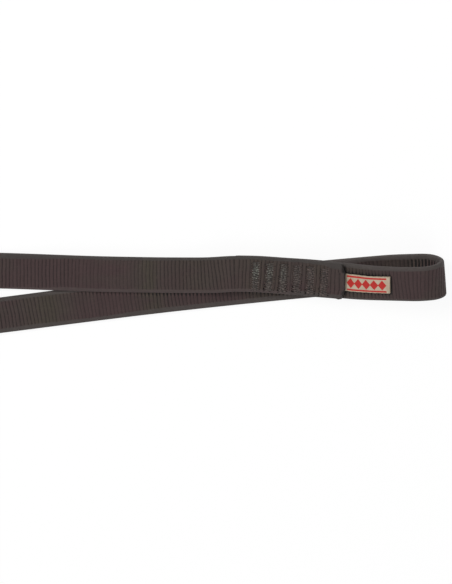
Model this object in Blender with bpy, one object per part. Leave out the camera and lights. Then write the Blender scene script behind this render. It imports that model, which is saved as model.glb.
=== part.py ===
"""A sewn climbing sling of flat tubular webbing, laid out on a table.

One strap of webbing makes a long loop. Its two ends overlap and are sewn
together by six bar tacks, and a short eye is left open beyond the seam.
A folded cloth label is caught in the seam and lies free on the eye.

Metres, +Z up. +X runs along the sling towards the sewn eye, +Y across it.
The origin is on the table, below the middle of the laid out sling.
"""

import math

import bmesh
import bpy
import numpy as np
from mathutils import Vector


# Clearances
TOUCH_GAP = 0.0003            # left between pieces that lie on each other
CUT_OVERRUN = 0.0003          # how far a cutter reaches past the faces it cuts

# Length of the sling: half way round the loop, as slings are named
SLING_LENGTH = 0.6000
DRAWN_LENGTH = 0.6000         # the length that the route below was drawn for
LEG_START = 0.0973            # both legs stretch or shrink from here
LEG_END = -0.2400             # to here, on the route as drawn

# Webbing strap
WEBBING_WIDTH = 0.0172
WEBBING_THICKNESS = 0.0022
SELVEDGE_RADIUS = 0.0009      # rounding of the two long edges
OVERLAP_LENGTH = 0.0489       # where the two ends lie on each other
RING_STEP = 0.0180            # longest facet along a straight stretch
OVERLAP_RING_STEP = 0.0030    # longest facet where the strap is sewn
RING_TURN = math.radians(8.0)     # largest turn from one facet to the next
CORNER_STEPS = 2              # facets round each corner of the section

# Bar tacks, each one a needle thread and a bobbin thread
TACK_COUNT = 6
TACK_EDGE_MARGIN = 0.0016     # webbing left beside each end of a tack
TACK_WIDTH = 0.0038           # along the strap
TACK_PITCH = 0.0063           # from one tack to the next
END_MARGIN = 0.0085           # from the outer cut end to the middle of the last tack
THREAD_DIAMETER = 0.0004
STROKES = 10                  # zigzag strokes of one tack
TACK_LENGTH = WEBBING_WIDTH - 2 * TACK_EDGE_MARGIN     # across the strap
STITCH_CORNER_RADIUS = 0.00035
STITCH_CORNER_STEPS = 3
THREAD_SIDES = 5
HOLE_SIDES = 8

# Label
LABEL_WIDTH = 0.0086
LABEL_THICKNESS = 0.0007      # both leaves of the folded cloth
LABEL_EDGE_RADIUS = 0.0002
LABEL_TAIL_LENGTH = 0.0105    # held between the layers
LABEL_ROOT = 0.0015           # how far the held part shows past the cut end
LABEL_FLAP_LENGTH = 0.0212    # free part, as far as its folded end
LABEL_RAMP = 0.0090           # the layers part over this length to take it in
LABEL_SIDE_SHIFT_SHARES = (0.0, 0.02)   # off the eye's middle: root, end

# How far the outer layer lies off the inner one, across the strap:
# share of the overlap's length, share of the webbing's width
LAYER_SHIFT_SHARES = (
    (0.0, 0.045),
    (0.45, 0.040),
    (0.72, 0.040),
    (1.0, 0.060),
)

# The strap's route, chosen by hand on the laid out sling, as a cord's route
# is. Each point gives x and y, the layers of webbing and of thread that lie
# below it, how far it is lifted above them, and its roll in degrees about its
# own run. It starts at the inner cut end and ends where the strap climbs on
# to its own start.
ROUTE = (
    # sewn stretch, inner layer
    (0.2045, 0.00750, 1, 1, 0.0002, 0.0),
    (0.2100, 0.00740, 1, 1, 0.0001, 0.0),
    (0.2155, 0.00720, 1, 1, 0.0001, 0.0),
    (0.2250, 0.00660, 1, 1, 0.0004, 0.0),
    (0.2355, 0.00610, 1, 1, 0.0010, 0.0),
    (0.2441, 0.00560, 1, 1, 0.0017, 0.0),
    (0.2520, 0.00515, 1, 1, 0.0028, 0.0),
    # upper side of the eye
    (0.2590, 0.00535, 1, 1, 0.0050, 1.5),
    (0.2668, 0.00605, 1, 1, 0.0083, 6.0),
    (0.2741, 0.00690, 1, 1, 0.0113, 8.0),
    (0.2814, 0.00760, 1, 1, 0.0136, 7.8),
    (0.2862, 0.00790, 1, 1, 0.0143, 6.4),
    (0.2905, 0.00800, 1, 1, 0.0138, 5.0),
    # round the tip of the eye
    (0.2941, 0.00795, 1, 1, 0.0120, 1.0),
    (0.2968, 0.00780, 1, 1, 0.0089, -3.5),
    (0.2980, 0.00755, 1, 1, 0.0049, -5.0),
    (0.2969, 0.00735, 0, 0, 0.0045, -4.0),
    (0.2939, 0.00720, 0, 0, 0.0014, -1.5),
    (0.2900, 0.00705, 0, 0, 0.0001, 0.0),
    (0.2850, 0.00695, 0, 0, 0.0000, 0.0),
    # lower leg, on the table
    (0.2770, 0.00665, 0, 0, 0.0000, 0.0),
    (0.2670, 0.00585, 0, 0, 0.0000, 0.0),
    (0.2559, 0.00480, 0, 0, 0.0000, 0.0),
    (0.2355, 0.00280, 0, 0, 0.0000, 0.0),
    (0.2041, -0.00060, 0, 0, 0.0000, 0.0),
    (0.1564, -0.00630, 0, 0, 0.0000, 0.0),
    (0.0973, -0.01440, 0, 0, 0.0000, 0.0),
    (0.0400, -0.02140, 0, 0, 0.0000, 0.0),
    (-0.0200, -0.02540, 0, 0, 0.0000, 0.0),
    (-0.0800, -0.02660, 0, 0, 0.0000, 0.0),
    (-0.1400, -0.02510, 0, 0, 0.0000, 0.0),
    (-0.2000, -0.02020, 0, 0, 0.0000, 0.0),
    (-0.2400, -0.01570, 0, 0, 0.0000, 0.0),
    (-0.2640, -0.01330, 0, 0, 0.0000, 0.0),
    (-0.2760, -0.01230, 0, 0, 0.0000, 0.0),
    # round the far bight
    (-0.2830, -0.01180, 0, 0, 0.0001, 0.0),
    (-0.2870, -0.01150, 0, 0, 0.0011, 0.0),
    (-0.2896, -0.01125, 0, 0, 0.0036, 0.0),
    (-0.2905, -0.01100, 0, 0, 0.0070, 0.0),
    (-0.2893, -0.01080, 0, 0, 0.0103, 0.0),
    (-0.2862, -0.01060, 0, 0, 0.0126, 0.0),
    (-0.2818, -0.01040, 0, 0, 0.0131, 0.0),
    (-0.2765, -0.01015, 1, 0, 0.0095, 0.0),
    (-0.2695, -0.00985, 1, 0, 0.0069, 0.0),
    (-0.2610, -0.00945, 1, 0, 0.0037, 0.0),
    (-0.2520, -0.00900, 1, 0, 0.0014, 0.0),
    (-0.2430, -0.00860, 1, 0, 0.0003, 0.0),
    # upper leg, lying on the lower one, then beside it
    (-0.2300, -0.00800, 1, 0, 0.0002, 0.0),
    (-0.2120, -0.00695, 1, 0, 0.0002, 0.0),
    (-0.1960, -0.00600, 1, 0, 0.0003, 0.0),
    (-0.1760, -0.00470, 1, 0, 0.0002, 0.0),
    (-0.1630, -0.00380, 0, 0, 0.0016, 0.0),
    (-0.1490, -0.00275, 0, 0, 0.0004, 0.0),
    (-0.1350, -0.00135, 0, 0, 0.0001, 0.0),
    (-0.1200, -0.00010, 0, 0, 0.0000, 0.0),
    (-0.1000, 0.00130, 0, 0, 0.0000, 0.0),
    (-0.0500, 0.00430, 0, 0, 0.0000, 0.0),
    (0.0000, 0.00650, 0, 0, 0.0000, 0.0),
    (0.0400, 0.00757, 0, 0, 0.0000, 0.0),
    (0.0660, 0.00780, 0, 0, 0.0000, 0.0),
    (0.0820, 0.00775, 0, 0, 0.0000, 0.0),
    (0.0960, 0.00760, 0, 0, 0.0003, 0.0),
    (0.1100, 0.00750, 0, 0, 0.0012, 0.0),
    (0.1236, 0.00740, 0, 0, 0.0023, 0.0),
    (0.1400, 0.00700, 1, 0, 0.0003, 0.0),
    (0.1564, 0.00655, 1, 0, 0.0001, 0.0),
    (0.1720, 0.00635, 1, 0, 0.0002, 0.0),
    (0.1840, 0.00645, 1, 0, 0.0006, 0.0),
    (0.1945, 0.00710, 1, 0, 0.0019, 0.0),
)
ROUTE_MIDDLE = (0.0042, -0.0089)     # goes to the origin


def stretched(x):
    """Where a drawn x goes when the sling is longer or shorter than drawn."""
    extra = SLING_LENGTH - DRAWN_LENGTH
    share = min(max((LEG_START - x) / (LEG_START - LEG_END), 0.0), 1.0)
    return x + extra / 2 - extra * share - ROUTE_MIDDLE[0]


def route_points():
    """Centre points of the strap, with the roll as a fourth number."""
    layer = WEBBING_THICKNESS + TOUCH_GAP
    thread = THREAD_DIAMETER + TOUCH_GAP
    points = []
    for x, y, layers, threads, lift, roll in ROUTE:
        z = WEBBING_THICKNESS / 2 + layers * layer + threads * thread + lift
        points.append((stretched(x), y - ROUTE_MIDDLE[1], z, roll))
    return points


def smooth_curve(points):
    """A natural cubic spline through the points. Returns it and its length."""
    p = np.array(points, float)
    knots = np.linalg.norm(np.diff(p[:, :3], axis=0), axis=1)
    along = np.concatenate([[0.0], np.cumsum(knots)])
    count = len(p)
    system = np.eye(count)
    right = np.zeros_like(p)
    for i in range(1, count - 1):
        before = knots[i - 1]
        after = knots[i]
        system[i, i - 1:i + 2] = (before, 2 * (before + after), after)
        right[i] = 6 * ((p[i + 1] - p[i]) / after - (p[i] - p[i - 1]) / before)
    second = np.linalg.solve(system, right)

    def at(q):
        q = np.atleast_1d(q)
        i = np.clip(np.searchsorted(along, q, side="right") - 1, 0, count - 2)
        left = (along[i + 1] - q)[:, None]
        past = (q - along[i])[:, None]
        span = knots[i][:, None]
        bend = (second[i] * left ** 3 + second[i + 1] * past ** 3) / (6 * span)
        start = (p[i] / span - second[i] * span / 6) * left
        end = (p[i + 1] / span - second[i + 1] * span / 6) * past
        return bend + start + end

    return at, along[-1]


class Line:
    """A centreline with its frames: along the run, across it, and outward."""

    SAMPLES = 4000

    def __init__(self, points):
        at, total = smooth_curve(points)
        q = np.linspace(0.0, total, self.SAMPLES)
        values = at(q)
        self.centre = values[:, :3]
        steps = np.linalg.norm(np.diff(self.centre, axis=0), axis=1)
        self.along = np.concatenate([[0.0], np.cumsum(steps)])
        run = np.gradient(self.centre, self.along, axis=0)
        run /= np.linalg.norm(run, axis=1)[:, None]
        y_axis = np.array([0.0, 1.0, 0.0])
        flat = y_axis - (run @ y_axis)[:, None] * run
        flat /= np.linalg.norm(flat, axis=1)[:, None]
        out = np.cross(run, flat)
        roll = np.radians(values[:, 3])[:, None]
        self.run = run
        self.across = flat * np.cos(roll) + out * np.sin(roll)
        self.out = np.cross(run, self.across)
        self.length = self.along[-1]

    def read(self, table, u):
        """The table's row at the distance u. Past an end it goes on straight."""
        inside = min(max(u, 0.0), self.length)
        row = np.array([np.interp(inside, self.along, table[:, k]) for k in range(3)])
        if table is self.centre:
            end = self.run[0] if u < inside else self.run[-1]
            return row + end * (u - inside)
        return row / np.linalg.norm(row)

    def place(self, u, w, n):
        """The point at u along the line, w across it and n outward of it."""
        across = self.read(self.across, u)
        out = self.read(self.out, u)
        return self.read(self.centre, u) + across * w + out * n


def layer_gap(u):
    """Clearance between the sewn layers, which part round the label."""
    start = OVERLAP_LENGTH - LABEL_TAIL_LENGTH - LABEL_RAMP
    share = min(max((u - start) / LABEL_RAMP, 0.0), 1.0)
    eased = share * share * (3 - 2 * share)
    return TOUCH_GAP + eased * (LABEL_THICKNESS + TOUCH_GAP)


def layer_shift(u):
    """How far the outer layer lies off the inner one, across the strap."""
    places = [p * OVERLAP_LENGTH for p, _ in LAYER_SHIFT_SHARES]
    shifts = [s * WEBBING_WIDTH for _, s in LAYER_SHIFT_SHARES]
    return float(np.interp(u, places, shifts))


def outer_offset(u):
    """From the inner layer's centre out to the outer layer's, at u."""
    return WEBBING_THICKNESS + layer_gap(u)


def strap_lines():
    """The inner layer's line on its own, and the whole strap's line."""
    points = route_points()
    inner = Line(points)
    count = int(round(OVERLAP_LENGTH / OVERLAP_RING_STEP))
    laid = []
    for k in range(count + 1):
        u = OVERLAP_LENGTH * k / count
        laid.append((*inner.place(u, layer_shift(u), outer_offset(u)), 0.0))
    return inner, Line(points + laid)


def strap_stations(line):
    """Where the strap's rings stand: closer in bends and where it is sewn."""
    turn = np.linalg.norm(np.diff(line.run, axis=0), axis=1)
    step = np.diff(line.along)
    middle = (line.along[1:] + line.along[:-1]) / 2
    sewn = (middle < OVERLAP_LENGTH) | (middle > line.length - OVERLAP_LENGTH)
    longest = np.where(sewn, OVERLAP_RING_STEP, RING_STEP)
    cost = np.concatenate([[0.0], np.cumsum(step / longest + turn / RING_TURN)])
    count = int(math.ceil(cost[-1]))
    return np.interp(np.linspace(0.0, cost[-1], count + 1), cost, line.along)


def rounded_section(width, thickness, radius, steps):
    """A flat section with round corners, as (across, outward) pairs."""
    half_w = width / 2 - radius
    half_t = thickness / 2 - radius
    corners = ((half_w, half_t), (-half_w, half_t), (-half_w, -half_t), (half_w, -half_t))
    section = []
    for quarter, (w, n) in enumerate(corners):
        for k in range(steps + 1):
            angle = math.radians(90) * (quarter + k / steps)
            section.append((w + radius * math.cos(angle), n + radius * math.sin(angle)))
    return section


def round_section(radius, sides):
    """A round section, as pairs."""
    turns = [2 * math.pi * k / sides for k in range(sides)]
    return [(radius * math.cos(a), radius * math.sin(a)) for a in turns]


def skin(rings):
    """A closed mesh over rings of points, with a flat cap on each end."""
    bm = bmesh.new()
    loops = [[bm.verts.new(Vector(p)) for p in ring] for ring in rings]
    sides = len(rings[0])
    for a, b in zip(loops, loops[1:]):
        for k in range(sides):
            n = (k + 1) % sides
            bm.faces.new((a[k], a[n], b[n], b[k]))
    bm.faces.new(loops[0])
    bm.faces.new(loops[-1])
    bmesh.ops.recalc_face_normals(bm, faces=bm.faces)
    return bm


def add_object(name, bm, material, origin=(0.0, 0.0, 0.0)):
    """Turn a bmesh into an object whose own origin is at the given point."""
    bmesh.ops.translate(bm, verts=bm.verts, vec=-Vector(origin))
    mesh = bpy.data.meshes.new(name)
    bm.to_mesh(mesh)
    bm.free()
    obj = bpy.data.objects.new(name, mesh)
    obj.location = origin
    bpy.context.scene.collection.objects.link(obj)
    if material is not None:
        mesh.materials.append(material)
    mesh.shade_smooth()
    mesh.set_sharp_from_angle(angle=math.radians(50))
    return obj


def linear(channel):
    """A screen colour value as the linear value that a shader takes."""
    if channel <= 0.04045:
        return channel / 12.92
    return ((channel + 0.055) / 1.055) ** 2.4


def new_material(name, red, green, blue, roughness):
    """A cloth material from a screen colour given as 0 to 255."""
    material = bpy.data.materials.new(name)
    material.use_nodes = True
    shader = material.node_tree.nodes["Principled BSDF"]
    colour = [linear(c / 255) for c in (red, green, blue)]
    shader.inputs["Base Color"].default_value = (*colour, 1.0)
    shader.inputs["Roughness"].default_value = roughness
    shader.inputs["Metallic"].default_value = 0.0
    material.diffuse_color = (*colour, 1.0)
    return material


def band(line, section, stations, side_shift, lift):
    """Rings of a flat section laid along a line."""
    rings = []
    for u in stations:
        shift = side_shift(u)
        rings.append([line.place(u, shift + w, lift + n) for w, n in section])
    return rings


def rounded_path(points, radius, steps):
    """A bent path in the plane, with each inner corner rounded."""
    path = [points[0]]
    for before, corner, after in zip(points, points[1:], points[2:]):
        c = Vector(corner)
        a = (Vector(before) - c).normalized()
        b = (Vector(after) - c).normalized()
        half = a.angle(b) / 2
        middle = c + (a + b).normalized() * (radius / math.sin(half))
        start = c + a * (radius / math.tan(half)) - middle
        end = c + b * (radius / math.tan(half)) - middle
        for k in range(steps + 1):
            turned = start.slerp(end, k / steps) * radius
            path.append(tuple(middle + turned))
    path.append(points[-1])
    return path


def tack_centre(index):
    """Where a tack's middle lies, from the inner cut end. The first is 0."""
    last = OVERLAP_LENGTH - END_MARGIN
    return last - (TACK_COUNT - 1 - index) * TACK_PITCH


def hole_places(index):
    """The two needle holes of a tack, one at each end, as (along, across)."""
    centre = tack_centre(index)
    reach_u = (TACK_WIDTH - THREAD_DIAMETER) / 2
    reach_w = (TACK_LENGTH - THREAD_DIAMETER) / 2
    last_side = 1 if STROKES % 2 == 0 else -1
    return ((centre - reach_u, -reach_w), (centre - last_side * reach_u, reach_w))


def zigzag(index):
    """The stitched line of one tack as (along, across), from hole to hole."""
    first, last = hole_places(index)
    centre = tack_centre(index)
    reach_u = (TACK_WIDTH - THREAD_DIAMETER) / 2
    corners = []
    for k in range(STROKES + 1):
        side = -1 if k % 2 == 0 else 1
        w = first[1] + (last[1] - first[1]) * k / STROKES
        corners.append((centre + side * reach_u, w))
    return rounded_path(corners, STITCH_CORNER_RADIUS, STITCH_CORNER_STEPS)


def thread_rings(path, radius, sides):
    """Rings of a round thread along a path in space, turned as little as can be."""
    path = [Vector(p) for p in path]
    runs = []
    for k in range(len(path)):
        before = path[max(k - 1, 0)]
        after = path[min(k + 1, len(path) - 1)]
        into = path[k] - before
        out_of = after - path[k]
        runs.append((into.normalized() + out_of.normalized()).normalized())
    side = runs[0].orthogonal().normalized()
    rings = []
    for k, (point, run) in enumerate(zip(path, runs)):
        if k:
            side = runs[k - 1].rotation_difference(run) @ side
            side = (side - run * side.dot(run)).normalized()
        other = run.cross(side)
        ring = []
        for a, b in round_section(radius, sides):
            ring.append(point + side * a + other * b)
        rings.append(ring)
    return rings


def tack_thread(inner, index, on_top):
    """One thread of a tack: a zigzag on the face, and a leg into each hole.

    The needle thread lies on the outer face and the bobbin thread on the
    back. Their legs meet half way through, where the real ones interlock.
    """
    radius = THREAD_DIAMETER / 2
    path = []
    flat = zigzag(index)
    for k, (u, w) in enumerate(flat):
        seat = WEBBING_THICKNESS / 2 + TOUCH_GAP + radius
        back = -seat
        top = outer_offset(u) + seat
        meeting = outer_offset(u) / 2
        level = top if on_top else back
        inward = -1 if on_top else 1
        leg_end = meeting - inward * TOUCH_GAP / 2
        leg_start = level + inward * THREAD_DIAMETER
        if k == 0:
            path.append(inner.place(u, w, leg_end))
            path.append(inner.place(u, w, leg_start))
        bend = STITCH_CORNER_RADIUS
        if k == 0 or k == len(flat) - 1:
            # the leg bends over into the first or last stroke
            other = flat[1] if k == 0 else flat[-2]
            run = (Vector(other) - Vector((u, w))).normalized() * bend
            path.append(inner.place(u + run.x, w + run.y, level))
        else:
            path.append(inner.place(u, w, level))
        if k == len(flat) - 1:
            path.append(inner.place(u, w, leg_start))
            path.append(inner.place(u, w, leg_end))
    return skin(thread_rings(path, radius, THREAD_SIDES))


def needle_hole_cutter(inner):
    """Every needle hole, as one cutter with a round bar for each."""
    radius = THREAD_DIAMETER / 2 + TOUCH_GAP
    joined = bmesh.new()
    for index in range(TACK_COUNT):
        for u, w in hole_places(index):
            low = -WEBBING_THICKNESS / 2 - CUT_OVERRUN
            high = outer_offset(u) + WEBBING_THICKNESS / 2 + CUT_OVERRUN
            ends = [inner.place(u, w, low), inner.place(u, w, high)]
            bar = skin(thread_rings(ends, radius, HOLE_SIDES))
            piece = bpy.data.meshes.new("bar")
            bar.to_mesh(piece)
            bar.free()
            joined.from_mesh(piece)
            bpy.data.meshes.remove(piece)
    cutter = add_object("needle_hole_cutter", joined, None)
    cutter.hide_render = True
    cutter.display_type = "WIRE"
    return cutter


def stations_between(stations, start, end):
    """The strap's own ring places between two distances, and both ends."""
    margin = LABEL_EDGE_RADIUS
    held = [u for u in stations if start + margin < u < end - margin]
    return [start] + held + [end]


def label_shift(u):
    """How far the label lies off the middle of the eye's layer."""
    root, end = [s * WEBBING_WIDTH for s in LABEL_SIDE_SHIFT_SHARES]
    share = (u - OVERLAP_LENGTH) / LABEL_FLAP_LENGTH
    return root + (end - root) * min(max(share, 0.0), 1.0)


def label_piece(name, inner, stations, material, origin=(0.0, 0.0, 0.0)):
    """A stretch of the label, flat on the inner layer."""
    section = rounded_section(LABEL_WIDTH, LABEL_THICKNESS, LABEL_EDGE_RADIUS, 1)
    lift = WEBBING_THICKNESS / 2 + TOUCH_GAP + LABEL_THICKNESS / 2
    rings = band(inner, section, stations, label_shift, lift)
    return add_object(name, skin(rings), material, origin)


def label_axis(inner):
    """A point on the line that the flap lifts about, along its upper face."""
    u = OVERLAP_LENGTH + LABEL_ROOT + TOUCH_GAP / 2
    lift = WEBBING_THICKNESS / 2 + TOUCH_GAP + LABEL_THICKNESS
    return inner.place(u, label_shift(u), lift), inner.read(inner.across, u)


def build():
    """Make every piece."""
    for obj in list(bpy.data.objects):
        bpy.data.objects.remove(obj, do_unlink=True)

    webbing = new_material("dark_brown_grey_webbing", 72, 62, 61, 0.85)
    inner, whole = strap_lines()

    section = rounded_section(
        WEBBING_WIDTH, WEBBING_THICKNESS, SELVEDGE_RADIUS, CORNER_STEPS
    )
    stations = strap_stations(whole)
    rings = band(whole, section, stations, lambda u: 0.0, 0.0)
    strap = add_object("webbing_strap", skin(rings), webbing)
    holes = strap.modifiers.new("needle_holes", "BOOLEAN")
    holes.operation = "DIFFERENCE"
    holes.solver = "EXACT"
    holes.object = needle_hole_cutter(inner)

    for index in range(TACK_COUNT):
        for kind, on_top in (("needle", True), ("bobbin", False)):
            name = f"bar_tack_{index + 1}_{kind}"
            thread = new_material(name + "_thread", 98, 99, 90, 0.6)
            add_object(name, tack_thread(inner, index, on_top), thread)

    # The label: a sewn in tail, then the flap, which lifts about its root
    tail_start = OVERLAP_LENGTH - LABEL_TAIL_LENGTH
    root = OVERLAP_LENGTH + LABEL_ROOT
    cloth_tail = new_material("label_tail_cloth", 200, 189, 164, 0.8)
    cloth_flap = new_material("label_flap_cloth", 200, 189, 164, 0.8)
    held = stations_between(stations, tail_start, root)
    label_piece("label_tail", inner, held, cloth_tail)

    axis_point, axis_run = label_axis(inner)
    hinge = bpy.data.objects.new("label_hinge", None)
    hinge.location = axis_point
    bpy.context.scene.collection.objects.link(hinge)
    flap_start = root + TOUCH_GAP
    flap_end = flap_start + LABEL_FLAP_LENGTH
    free = stations_between(stations, flap_start, flap_end)
    flap = label_piece("label_flap", inner, free, cloth_flap, axis_point)
    flap.parent = hinge
    flap.location = (0.0, 0.0, 0.0)

    centre = whole.centre
    reach = np.abs(whole.across) * WEBBING_WIDTH / 2
    reach = reach + np.abs(whole.out) * WEBBING_THICKNESS / 2
    low = (centre - reach).min(axis=0)
    high = (centre + reach).max(axis=0)
    print("strap length", round(whole.length, 5), "box", low, high)
    print("label axis point", axis_point, "direction", axis_run)


build()
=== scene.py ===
"""The looks of a sewn climbing sling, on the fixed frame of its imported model.

Metres, +Z up. +X runs along the sling towards the sewn eye, +Y across it.
"""

import math

import bmesh
import bpy
import numpy as np
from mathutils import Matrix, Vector


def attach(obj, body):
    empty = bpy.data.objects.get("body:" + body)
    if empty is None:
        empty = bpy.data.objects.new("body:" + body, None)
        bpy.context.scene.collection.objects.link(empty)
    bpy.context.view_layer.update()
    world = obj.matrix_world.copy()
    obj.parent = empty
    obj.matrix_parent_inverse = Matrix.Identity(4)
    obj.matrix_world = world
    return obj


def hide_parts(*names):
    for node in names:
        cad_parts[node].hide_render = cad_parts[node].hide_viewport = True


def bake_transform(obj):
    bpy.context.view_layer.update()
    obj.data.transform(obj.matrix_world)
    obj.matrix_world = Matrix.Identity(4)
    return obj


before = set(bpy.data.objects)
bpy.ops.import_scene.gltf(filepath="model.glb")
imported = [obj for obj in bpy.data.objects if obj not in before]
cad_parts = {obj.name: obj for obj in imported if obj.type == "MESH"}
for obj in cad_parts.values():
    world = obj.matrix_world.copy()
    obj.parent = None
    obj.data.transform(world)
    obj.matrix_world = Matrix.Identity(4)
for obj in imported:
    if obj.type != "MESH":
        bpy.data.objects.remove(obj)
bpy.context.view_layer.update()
scene = bpy.context.scene


# ---- sizes

# The strap and its route, as in the part's source
TOUCH_GAP = 0.0003
WEBBING_WIDTH = 0.0172
WEBBING_THICKNESS = 0.0022
OVERLAP_LENGTH = 0.0489
TACK_COUNT = 6
TACK_EDGE_MARGIN = 0.0016
TACK_WIDTH = 0.0038
TACK_PITCH = 0.0063
END_MARGIN = 0.0085
THREAD_DIAMETER = 0.0004
TACK_LENGTH = WEBBING_WIDTH - 2 * TACK_EDGE_MARGIN
LABEL_WIDTH = 0.0086
LABEL_THICKNESS = 0.0007
LABEL_TAIL_LENGTH = 0.0105
LABEL_ROOT = 0.0015
LABEL_FLAP_LENGTH = 0.0212
LABEL_RAMP = 0.0090
LABEL_SIDE_SHIFT_SHARES = (0.0, 0.02)
LAYER_SHIFT_SHARES = ((0.0, 0.045), (0.45, 0.040), (0.72, 0.040), (1.0, 0.060))
ROUTE = (  # x, y, layers and threads below, lift, roll; what is left out is 0
    (0.2045, 0.0075, 1, 1, 0.0002), (0.21, 0.0074, 1, 1, 0.0001),
    (0.2155, 0.0072, 1, 1, 0.0001), (0.225, 0.0066, 1, 1, 0.0004),
    (0.2355, 0.0061, 1, 1, 0.001), (0.2441, 0.0056, 1, 1, 0.0017),
    (0.252, 0.00515, 1, 1, 0.0028), (0.259, 0.00535, 1, 1, 0.005, 1.5),
    (0.2668, 0.00605, 1, 1, 0.0083, 6), (0.2741, 0.0069, 1, 1, 0.0113, 8),
    (0.2814, 0.0076, 1, 1, 0.0136, 7.8), (0.2862, 0.0079, 1, 1, 0.0143, 6.4),
    (0.2905, 0.008, 1, 1, 0.0138, 5), (0.2941, 0.00795, 1, 1, 0.012, 1),
    (0.2968, 0.0078, 1, 1, 0.0089, -3.5), (0.298, 0.00755, 1, 1, 0.0049, -5),
    (0.2969, 0.00735, 0, 0, 0.0045, -4), (0.2939, 0.0072, 0, 0, 0.0014, -1.5),
    (0.29, 0.00705, 0, 0, 0.0001), (0.285, 0.00695), (0.277, 0.00665), (0.267, 0.00585),
    (0.2559, 0.0048), (0.2355, 0.0028), (0.2041, -0.0006), (0.1564, -0.0063),
    (0.0973, -0.0144), (0.04, -0.0214), (-0.02, -0.0254), (-0.08, -0.0266),
    (-0.14, -0.0251), (-0.2, -0.0202), (-0.24, -0.0157), (-0.264, -0.0133),
    (-0.276, -0.0123), (-0.283, -0.0118, 0, 0, 0.0001), (-0.287, -0.0115, 0, 0, 0.0011),
    (-0.2896, -0.01125, 0, 0, 0.0036), (-0.2905, -0.011, 0, 0, 0.007),
    (-0.2893, -0.0108, 0, 0, 0.0103), (-0.2862, -0.0106, 0, 0, 0.0126),
    (-0.2818, -0.0104, 0, 0, 0.0131), (-0.2765, -0.01015, 1, 0, 0.0095),
    (-0.2695, -0.00985, 1, 0, 0.0069), (-0.261, -0.00945, 1, 0, 0.0037),
    (-0.252, -0.009, 1, 0, 0.0014), (-0.243, -0.0086, 1, 0, 0.0003),
    (-0.23, -0.008, 1, 0, 0.0002), (-0.212, -0.00695, 1, 0, 0.0002),
    (-0.196, -0.006, 1, 0, 0.0003), (-0.176, -0.0047, 1, 0, 0.0002),
    (-0.163, -0.0038, 0, 0, 0.0016), (-0.149, -0.00275, 0, 0, 0.0004),
    (-0.135, -0.00135, 0, 0, 0.0001), (-0.12, -0.0001), (-0.1, 0.0013), (-0.05, 0.0043),
    (0, 0.0065), (0.04, 0.00757), (0.066, 0.0078), (0.082, 0.00775),
    (0.096, 0.0076, 0, 0, 0.0003), (0.11, 0.0075, 0, 0, 0.0012),
    (0.1236, 0.0074, 0, 0, 0.0023), (0.14, 0.007, 1, 0, 0.0003),
    (0.1564, 0.00655, 1, 0, 0.0001), (0.172, 0.00635, 1, 0, 0.0002),
    (0.184, 0.00645, 1, 0, 0.0006), (0.1945, 0.0071, 1, 0, 0.0019),
)
ROUTE_MIDDLE = (0.0042, -0.0089)

# The weave. Places along the strap are from its inner cut end. Across it, w is
# above 0 towards the edge that is uppermost in the photograph.
RIB_PITCH = 0.00168  # one cross rib and its groove
GROOVE_DEPTH = 0.00030
RIB_STATIONS = ((0.0, 1.0), (0.17, 0.12), (0.5, 0.0), (0.83, 0.12))  # phase, depth
SELVEDGES = (  # widths of the smooth edge bands: along, at +w, at -w
    (0, 0.0015, 0.00135), (0.052, 0.00185, 0.0014), (0.094, 0.0019, 0.0015),
    (0.098, 0.003, 0.00155), (0.105, 0.0031, 0.00165), (0.108, 0.0023, 0.0018),
    (0.115, 0.0024, 0.002), (0.125, 0.0024, 0.00225), (0.133, 0.00225, 0.00225),
    (0.139, 0.002, 0.00225), (0.145, 0.0027, 0.0023), (0.15, 0.0033, 0.0023),
    (0.161, 0.0033, 0.0023), (0.168, 0.0019, 0.0028), (0.185, 0.0019, 0.003),
    (0.245, 0.0019, 0.0029), (0.262, 0.0019, 0.0024), (0.278, 0.0019, 0.00235),
    (0.292, 0.00195, 0.0027), (0.31, 0.00195, 0.0027), (0.69, 0.0016, 0.002),
    (1.088, 0.0025, 0.0013), (1.112, 0.0023, 0.0015), (1.124, 0.0016, 0.00225),
    (1.165, 0.00125, 0.00205), (1.222, 0.00135, 0.002), (1.232, 0.0014, 0.0026),
    (1.241, 0.0015, 0.0026), (1.2445, 0.0027, 0.0026), (1.25, 0.0028, 0.0026),
)
# It scales both the grooves' depth and their painted shade.
RELIEF = (  # how plainly the ribs stand out: along, share
    (0, 0.8), (0.052, 0.95), (0.07, 0.62), (0.082, 0.6), (0.094, 0.85), (0.112, 0.95),
    (0.121, 0.9), (0.128, 0.58), (0.148, 0.58), (0.165, 0.95), (0.235, 0.85),
    (0.252, 0.62), (0.27, 0.7), (0.286, 0.9), (0.312, 0.95), (0.7, 1), (1.07, 1),
    (1.092, 1.02), (1.12, 0.95), (1.134, 0.55), (1.152, 0.48), (1.166, 1),
    (1.198, 1.08), (1.208, 0.74), (1.233, 0.72), (1.242, 0.86), (1.25, 0.8),
)
# Painted light on the edge bands where other layers shade them, and darker bands in
# places
EDGE_TONES = (  # how light the edge bands are: along, at +w, at -w
    (0, 1, 1), (0.05, 1.04, 1.12), (0.058, 1.12, 1.12), (0.076, 1.12, 1.08),
    (0.09, 1.12, 1.08), (0.097, 0.98, 1), (0.103, 1, 1), (0.109, 1.36, 1),
    (0.136, 1.36, 1), (0.15, 1.2, 1), (0.17, 1, 1.22), (0.19, 1, 1.25),
    (0.205, 1, 1.16), (0.23, 1, 1.1), (0.3, 1, 1.08), (0.33, 1, 1), (1.085, 1, 1),
    (1.1, 0.8, 1), (1.116, 0.8, 1), (1.126, 0.93, 1), (1.15, 0.88, 1), (1.21, 0.86, 1),
    (1.228, 0.84, 1.02), (1.25, 0.84, 1.02),
)
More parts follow.
